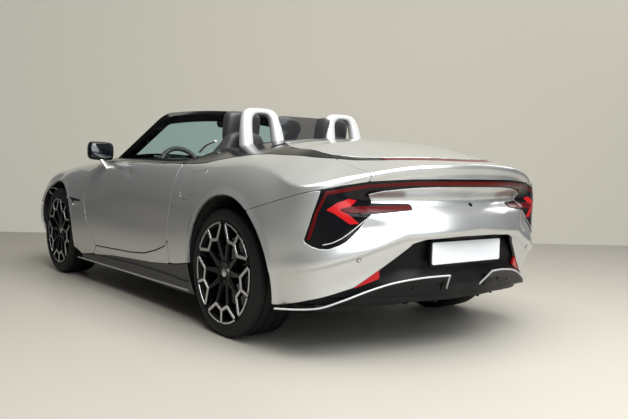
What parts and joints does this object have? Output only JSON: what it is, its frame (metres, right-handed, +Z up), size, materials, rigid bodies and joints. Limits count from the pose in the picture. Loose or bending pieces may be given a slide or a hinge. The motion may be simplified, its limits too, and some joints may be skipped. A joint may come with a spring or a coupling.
{
  "type": "roadster convertible",
  "caption": "Low two-seat electric roadster with an open cabin, roll hoops behind the seats, scissor doors, a wrap-round tail lamp and a stowed soft top.",
  "frame": {"origin": "on the ground under the middle of the car's length and width", "axes": "+Z up, nose towards -Y, the car's left side towards +X"},
  "size_m": [1.99, 4.535, 1.3278],
  "materials": {
    "silver_paint": "metallic clear coat",
    "black_trim": "gloss",
    "black_plastic": "satin",
    "structure": "satin",
    "casting": "cast",
    "wheel_black": "gloss black with machined lines",
    "tyre": "satin",
    "lamp_red": "clear over red",
    "lamp_clear": "clear",
    "glass": "tinted",
    "hoop_silver": "satin silver",
    "leather": "soft",
    "cabin_trim": "soft"
  },
  "bodies": {
    "body": {"cabin_tub": "structure", "front_structure": "structure", "rear_structure": "structure", "battery_pack": "structure", "front_subframe": "casting", "rear_subframe": "casting", "drive_motor": "casting", "rear_knuckles": "casting", "front_bumper": "silver_paint", "front_grille": "black_trim", "fender_left": "silver_paint", "fender_right": "silver_paint", "sill_left": "silver_paint", "sill_right": "silver_paint", "quarter_left": "silver_paint", "quarter_right": "silver_paint", "rear_bumper": "silver_paint", "rear_diffuser": "black_trim", "tail_lamps": "lamp_red", "headlamps": "lamp_clear", "windscreen_frame": "black_trim", "windscreen_glass": "glass", "tonneau_cover": "silver_paint", "deck_trim": "black_trim", "roll_hoops": "hoop_silver", "wind_deflector": "black_trim", "seat_left": "leather", "seat_right": "leather", "dashboard": "cabin_trim", "centre_console": "cabin_trim"},
    "door_left": {"door_left": "silver_paint", "mirror_left": "black_trim"},
    "door_right": {"door_right": "silver_paint", "mirror_right": "black_trim"},
    "bonnet": {"bonnet": "silver_paint"},
    "boot_lid": {"boot_lid": "silver_paint"},
    "steering_wheel": {"steering_wheel": "cabin_trim"},
    "knuckle_front_left": {"knuckle_front_left": "casting"},
    "knuckle_front_right": {"knuckle_front_right": "casting"},
    "wheel_front_left": {"wheel_front_left": "wheel_black", "tyre_front_left": "tyre"},
    "wheel_front_right": {"wheel_front_right": "wheel_black", "tyre_front_right": "tyre"},
    "wheel_rear_left": {"wheel_rear_left": "wheel_black", "tyre_rear_left": "tyre"},
    "wheel_rear_right": {"wheel_rear_right": "wheel_black", "tyre_rear_right": "tyre"}
  },
  "joints": [
    {"name": "steer_left", "type": "hinge", "parent": "body", "child": "knuckle_front_left", "pos_m": [0.745, -1.4025, 0.352], "axis": [0, 0, 1], "range_deg": [-32, 32]},
    {"name": "spin_front_left", "type": "hinge", "parent": "knuckle_front_left", "child": "wheel_front_left", "pos_m": [0.782, -1.4025, 0.352], "axis": [1, 0, 0], "continuous": true},
    {"name": "spin_rear_left", "type": "hinge", "parent": "body", "child": "wheel_rear_left", "pos_m": [0.782, 1.2875, 0.35], "axis": [1, 0, 0], "continuous": true},
    {"name": "door_left_swing", "type": "hinge", "parent": "body", "child": "door_left", "pos_m": [0.812, -0.658, 0.904], "axis": [0.9397, 0, -0.342], "range_deg": [0, 65]},
    {"name": "steer_right", "type": "hinge", "parent": "body", "child": "knuckle_front_right", "pos_m": [-0.745, -1.4025, 0.352], "axis": [0, 0, 1], "range_deg": [-32, 32]},
    {"name": "spin_front_right", "type": "hinge", "parent": "knuckle_front_right", "child": "wheel_front_right", "pos_m": [-0.782, -1.4025, 0.352], "axis": [1, 0, 0], "continuous": true},
    {"name": "spin_rear_right", "type": "hinge", "parent": "body", "child": "wheel_rear_right", "pos_m": [-0.782, 1.2875, 0.35], "axis": [1, 0, 0], "continuous": true},
    {"name": "door_right_swing", "type": "hinge", "parent": "body", "child": "door_right", "pos_m": [-0.812, -0.658, 0.904], "axis": [0.9397, 0, 0.342], "range_deg": [0, 65]},
    {"name": "steering_column", "type": "hinge", "parent": "body", "child": "steering_wheel", "pos_m": [0.375, -0.25, 0.89], "axis": [0, 0.9272, 0.3746], "range_deg": [-448, 448]},
    {"name": "bonnet_lift", "type": "hinge", "parent": "body", "child": "bonnet", "pos_m": [0, -0.752, 0.956], "axis": [-1, 0, 0], "range_deg": [0, 45]},
    {"name": "boot_lift", "type": "hinge", "parent": "body", "child": "boot_lid", "pos_m": [0, 1.27, 1.084], "axis": [1, 0, 0], "range_deg": [0, 60]}
  ],
  "couplings": [
    {"joint": "steer_right", "follows": "steer_left", "ratio": 1},
    {"joint": "steering_column", "follows": "steer_left", "ratio": 14}
  ]
}
